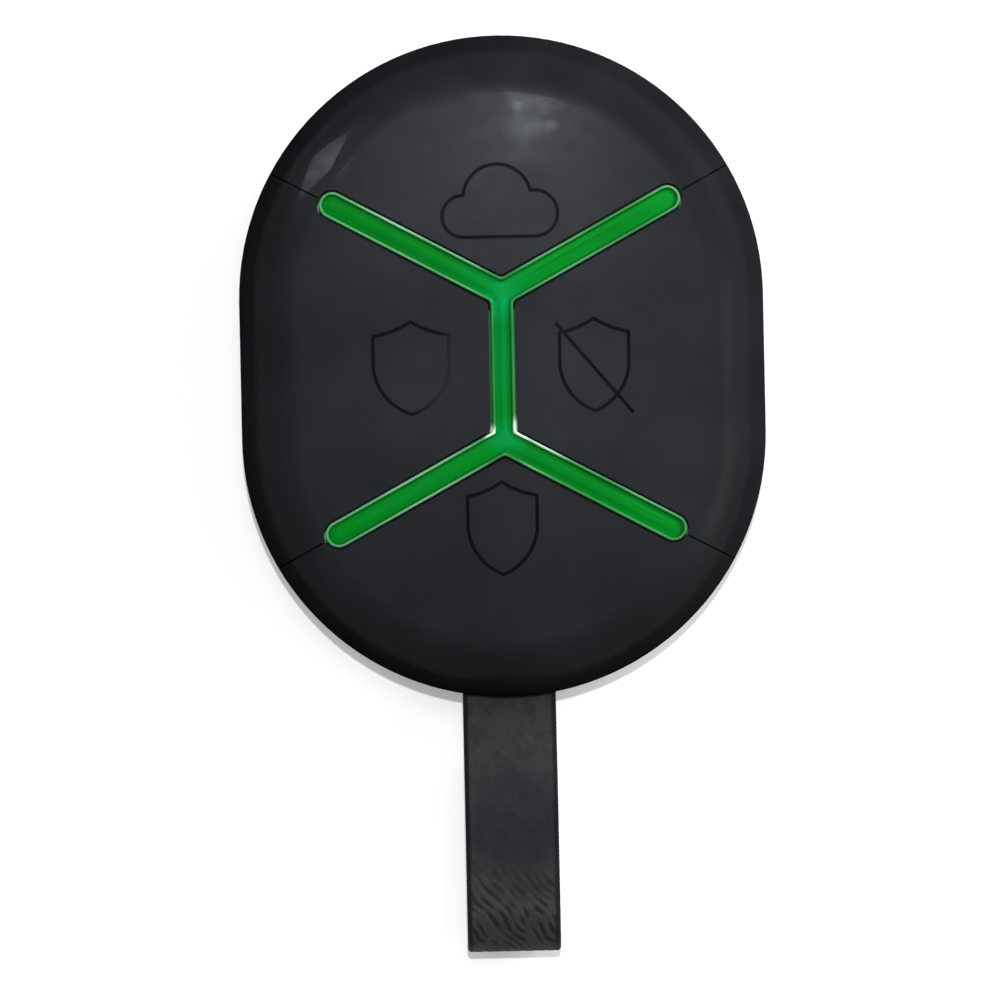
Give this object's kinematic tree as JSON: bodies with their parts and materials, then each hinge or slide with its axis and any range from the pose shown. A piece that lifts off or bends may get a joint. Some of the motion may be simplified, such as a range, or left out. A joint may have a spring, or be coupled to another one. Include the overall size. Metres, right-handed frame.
{
  "type": "alarm key fob",
  "caption": "Stadium-shaped alarm remote with four petal keys around a green branching light guide, engraved shield and cloud symbols, and a short webbing loop.",
  "frame": {"origin": "middle of the flat back, on the surface that the fob lies on", "axes": "+X to the fob's right seen from the front, +Y away from the strap towards the cloud key, +Z out of the face"},
  "size_m": [0.045, 0.0787, 0.0121],
  "materials": {
    "satin_black_plastic": "satin moulded",
    "inner_black_plastic": "moulded",
    "green_light_guide": "clear tinted",
    "board_laminate": "solder mask",
    "nickel_plate": "nickel plated",
    "gold_plate": "plated",
    "led_resin": "clear resin",
    "chip_resin": "moulded",
    "ceramic_passive": "fired",
    "copper_trace": "etched copper",
    "screw_steel": "blackened",
    "grey_webbing": "woven",
    "switch_housing": "moulded",
    "switch_button": "moulded"
  },
  "bodies": {
    "case": {"rear_cover": "satin_black_plastic", "key_frame": "inner_black_plastic", "light_guide": "green_light_guide", "circuit_board": "board_laminate", "coin_cell": "nickel_plate", "battery_clip": "nickel_plate", "battery_contact": "gold_plate", "green_leds": "led_resin", "radio_chip": "chip_resin", "crystal": "nickel_plate", "chip_passives": "ceramic_passive", "antenna": "copper_trace", "case_screws": "screw_steel", "strap": "grey_webbing", "strap_pin": "screw_steel", "switch_cloud": "switch_housing", "switch_part_arm": "switch_housing", "switch_arm": "switch_housing", "switch_disarm": "switch_housing"},
    "cloud_key": {"key_cloud": "satin_black_plastic"},
    "cloud_plunger": {"plunger_cloud": "switch_button"},
    "part_arm_key": {"key_part_arm": "satin_black_plastic"},
    "part_arm_plunger": {"plunger_part_arm": "switch_button"},
    "arm_key": {"key_arm": "satin_black_plastic"},
    "arm_plunger": {"plunger_arm": "switch_button"},
    "disarm_key": {"key_disarm": "satin_black_plastic"},
    "disarm_plunger": {"plunger_disarm": "switch_button"}
  },
  "joints": [
    {"name": "cloud_key_press", "type": "hinge", "parent": "case", "child": "cloud_key", "pos_m": [0, 0.0221, 0.00805], "axis": [1, 0, 0], "range_deg": [0, 1.8], "stiffness_Nm_per_rad": 0.4},
    {"name": "cloud_switch_travel", "type": "slide", "parent": "case", "child": "cloud_plunger", "axis": [0, 0, -1], "range_m": [0, 0.00025]},
    {"name": "part_arm_key_press", "type": "hinge", "parent": "case", "child": "part_arm_key", "pos_m": [0, -0.0221, 0.00805], "axis": [-1, 0, 0], "range_deg": [0, 1.8], "stiffness_Nm_per_rad": 0.4},
    {"name": "part_arm_switch_travel", "type": "slide", "parent": "case", "child": "part_arm_plunger", "axis": [0, 0, -1], "range_m": [0, 0.00025]},
    {"name": "arm_key_press", "type": "hinge", "parent": "case", "child": "arm_key", "pos_m": [-0.017, 0, 0.00805], "axis": [0, 1, 0], "range_deg": [0, 1.55], "stiffness_Nm_per_rad": 0.4},
    {"name": "arm_switch_travel", "type": "slide", "parent": "case", "child": "arm_plunger", "axis": [0, 0, -1], "range_m": [0, 0.00025]},
    {"name": "disarm_key_press", "type": "hinge", "parent": "case", "child": "disarm_key", "pos_m": [0.017, 0, 0.00805], "axis": [0, -1, 0], "range_deg": [0, 1.55], "stiffness_Nm_per_rad": 0.4},
    {"name": "disarm_switch_travel", "type": "slide", "parent": "case", "child": "disarm_plunger", "axis": [0, 0, -1], "range_m": [0, 0.00025]}
  ],
  "couplings": [
    {"joint": "cloud_switch_travel", "follows": "cloud_key_press", "m_per_rad": 0.00795},
    {"joint": "part_arm_switch_travel", "follows": "part_arm_key_press", "m_per_rad": 0.00795},
    {"joint": "arm_switch_travel", "follows": "arm_key_press", "m_per_rad": 0.0092},
    {"joint": "disarm_switch_travel", "follows": "disarm_key_press", "m_per_rad": 0.0092}
  ]
}
